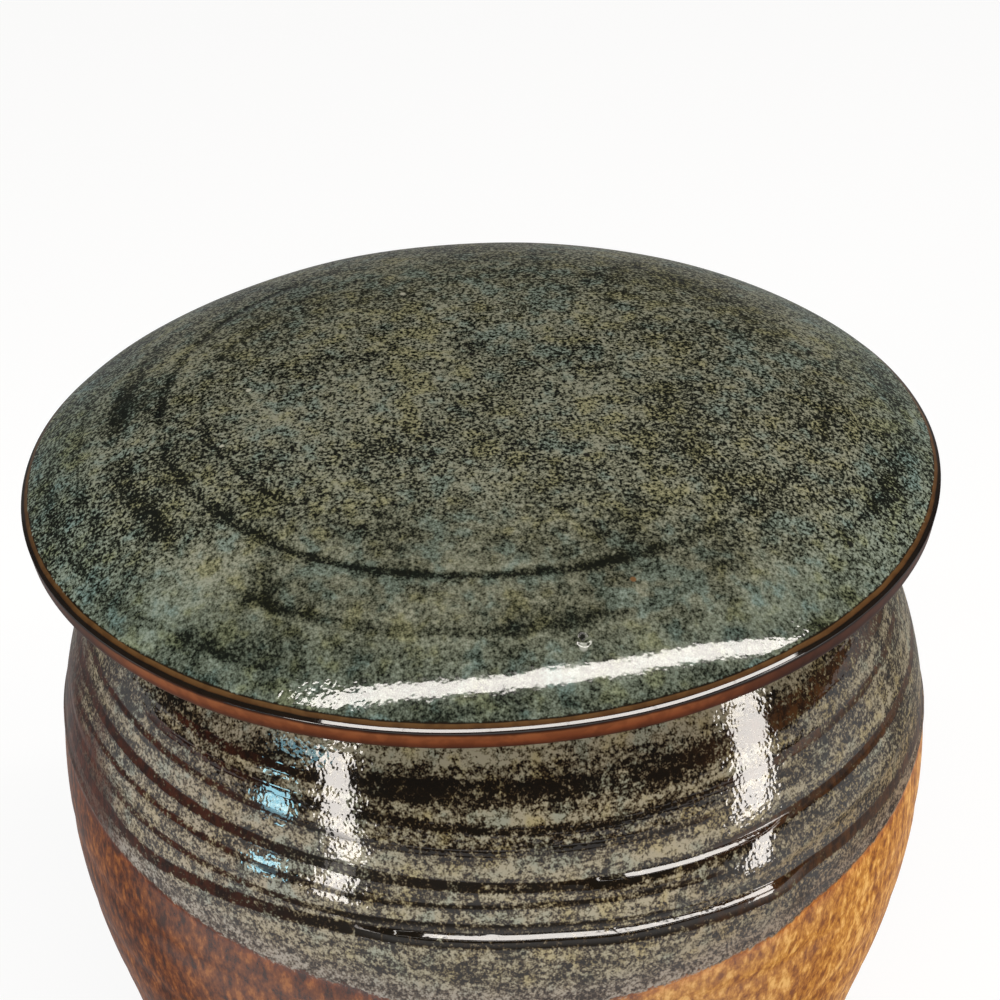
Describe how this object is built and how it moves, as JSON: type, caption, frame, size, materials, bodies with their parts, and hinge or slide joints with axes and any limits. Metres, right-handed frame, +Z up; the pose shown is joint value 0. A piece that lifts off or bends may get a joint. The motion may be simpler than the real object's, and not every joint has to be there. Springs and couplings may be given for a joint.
{
  "type": "lidded pottery jar",
  "caption": "Squat wheel-thrown stoneware jar with a rounded belly, a flat base and a broad domed lid without a knob that overhangs the rim and locates in the mouth by a flange.",
  "frame": {"origin": "the middle of the jar's flat base, on the table", "axes": "+Z up along the axis that the jar was turned on; the pictured front faces -Y; +X is to the right of someone facing the front, and the lid lifts along +Z"},
  "size_m": [0.1299, 0.13, 0.1255],
  "materials": {
    "jar_glaze": "glossy speckled grey-green glaze over an amber one, bare clay at the base",
    "lid_glaze": "glossy speckled grey-green glaze that breaks to brown at the edge"
  },
  "bodies": {
    "jar": {"jar_body": "jar_glaze"},
    "lid": {"lid": "lid_glaze"}
  },
  "joints": [
    {"name": "lid_lift", "type": "slide", "parent": "jar", "child": "lid", "axis": [0, 0, 1], "range_m": [0, 0.1]}
  ]
}
